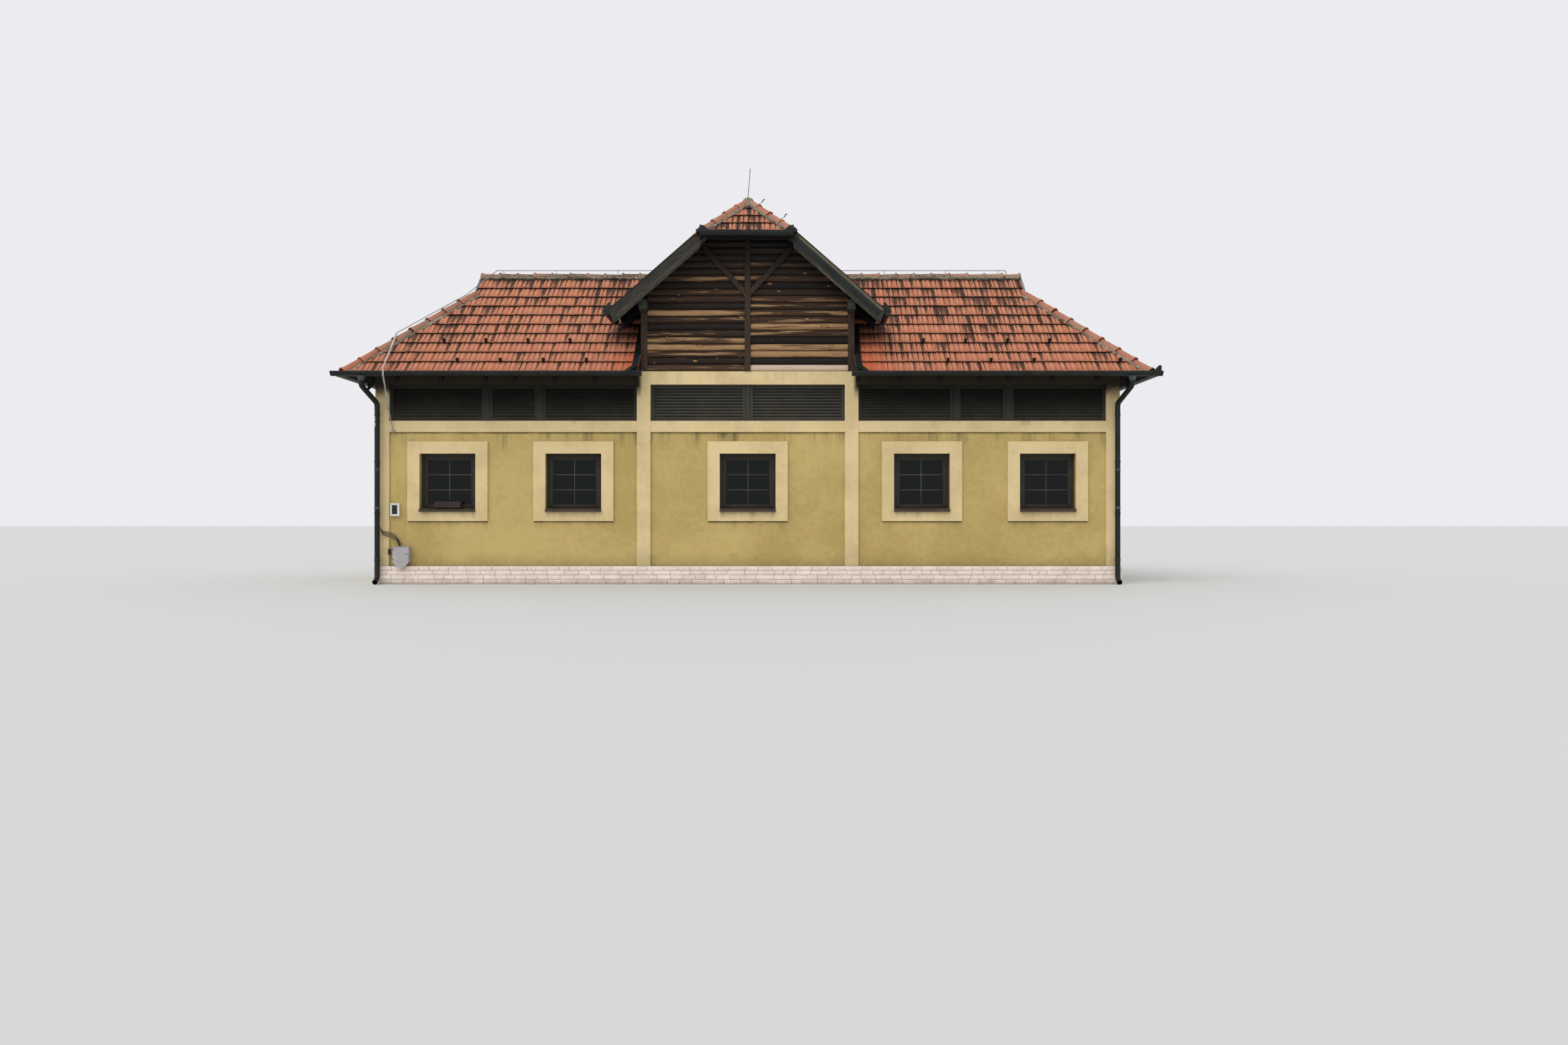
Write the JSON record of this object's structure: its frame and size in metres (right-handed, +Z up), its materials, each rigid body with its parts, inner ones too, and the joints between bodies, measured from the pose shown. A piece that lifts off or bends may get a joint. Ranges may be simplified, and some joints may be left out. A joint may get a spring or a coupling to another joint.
{
  "type": "railway station building",
  "caption": "Long one-storey station building with a hipped tile roof, a timber cross gable with half hips, pilasters, louvre panels and framed windows.",
  "frame": {"origin": "on the ground under the middle of the building", "axes": "+X along the facade towards its right end, +Y from the front to the back, +Z up"},
  "size_m": [17.3712, 6.6806, 9.0063],
  "materials": {
    "plaster_cream": "painted lime plaster, matt",
    "render_olive": "rough spatter render, matt",
    "plinth_stone": "white-painted split stone, matt",
    "floor_concrete": "cement screed, matt",
    "roof_tile": "weathered clay, matt",
    "timber_dark": "stained and weathered, matt",
    "timber_grey": "weathered, matt",
    "window_wood": "brown stain, satin",
    "louvre_wood": "dark brown paint, satin",
    "window_glass": "clear, gloss",
    "gutter_metal": "dark green paint, satin",
    "zinc_sheet": "weathered zinc sheet",
    "steel_wire": "galvanised, dull",
    "cabinet_grey": "grey paint, satin",
    "box_white": "white paint, satin",
    "planter_plastic": "dark brown, matt"
  },
  "bodies": {
    "root": {"plinth": "plinth_stone", "floor_slab": "floor_concrete", "back_steps": "plinth_stone", "front_wall_left": "render_olive", "front_wall_middle": "render_olive", "front_wall_right": "render_olive", "back_wall_left": "render_olive", "back_wall_beside_door": "render_olive", "back_wall_over_door": "render_olive", "back_wall_right": "render_olive", "end_walls": "render_olive", "upper_posts": "plaster_cream", "ring_beam": "plaster_cream", "pilasters": "plaster_cream", "bands": "plaster_cream", "surrounds": "plaster_cream", "window_frames": "window_wood", "window_sashes": "window_wood", "window_panes": "window_glass", "window_sills": "window_wood", "back_door_frame": "window_wood", "back_door": "window_wood", "louvre_panels": "louvre_wood", "louvre_posts": "louvre_wood", "roof_front": "roof_tile", "roof_back": "roof_tile", "roof_ends": "roof_tile", "cross_roof": "roof_tile", "half_hips": "roof_tile", "ridge_covers": "roof_tile", "hip_covers": "roof_tile", "gablet_walls": "timber_dark", "gablet_verges": "zinc_sheet", "wall_plates": "timber_dark", "rafters": "timber_dark", "cross_rafters": "timber_dark", "cross_purlins": "timber_grey", "gable_siding": "timber_dark", "gable_posts": "timber_dark", "gable_braces": "timber_dark", "cheek_walls": "timber_dark", "barge_boards": "timber_grey", "half_hip_boards": "timber_grey", "verge_flashings": "gutter_metal", "eave_gutters": "gutter_metal", "cross_gutters": "gutter_metal", "downpipes": "gutter_metal", "pipe_brackets": "gutter_metal", "lightning_rod": "steel_wire", "lightning_wire": "steel_wire", "wire_holders": "steel_wire", "meter_cabinet": "cabinet_grey", "wall_box": "box_white", "planter": "planter_plastic"}
  },
  "joints": []
}
